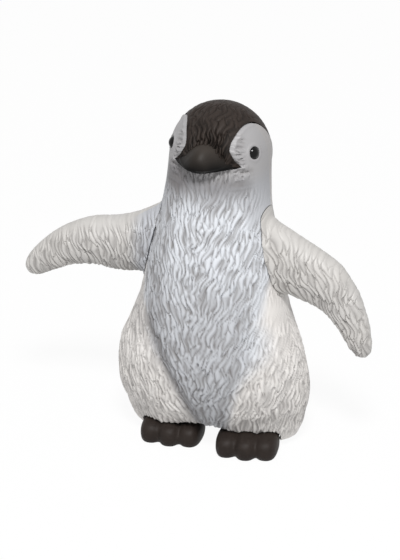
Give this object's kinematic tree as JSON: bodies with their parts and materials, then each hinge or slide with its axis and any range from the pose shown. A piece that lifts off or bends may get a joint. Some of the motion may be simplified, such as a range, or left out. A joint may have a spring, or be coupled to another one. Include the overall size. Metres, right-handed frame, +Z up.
{
  "type": "penguin figurine",
  "caption": "Small hard-plastic penguin chick figurine standing upright on stubby feet, with a black cap, sculpted feathers and spread wings that turn at the shoulders.",
  "frame": {"origin": "on the floor, under the middle of the figure's outline box, with the soles at z = 0", "axes": "+Z up, the penguin looks along -Y, its own left wing is at +X"},
  "size_m": [0.0714, 0.0336, 0.0684],
  "materials": {
    "bib_grey": "satin, sculpted with wavy feather locks; cool light grey bib, warm off-white thighs, grey-white head",
    "down_white": "satin, sculpted with wavy feather locks; warm off-white",
    "cap_black": "satin brown-black, with short sculpted feathers",
    "beak_black": "smooth, semi-gloss brown-black",
    "eye_gloss": "high gloss black",
    "foot_black": "satin brown-black",
    "pin_natural": "plain moulded plastic, hidden inside"
  },
  "bodies": {
    "body": {"body_front": "bib_grey", "body_back": "down_white", "crown_cap": "cap_black", "beak": "beak_black", "eye_left": "eye_gloss", "eye_right": "eye_gloss", "foot_left": "foot_black", "foot_right": "foot_black"},
    "left_wing": {"wing_left": "down_white", "wing_pin_left": "pin_natural"},
    "right_wing": {"wing_right": "down_white", "wing_pin_right": "pin_natural"}
  },
  "joints": [
    {"name": "wing_left_turn", "type": "hinge", "parent": "body", "child": "left_wing", "pos_m": [0.01567, -0.00267, 0.0394], "axis": [0.9694, 0, 0.2453], "continuous": true},
    {"name": "wing_right_turn", "type": "hinge", "parent": "body", "child": "right_wing", "pos_m": [-0.00755, -0.00267, 0.0394], "axis": [-0.9694, 0, 0.2453], "continuous": true}
  ]
}
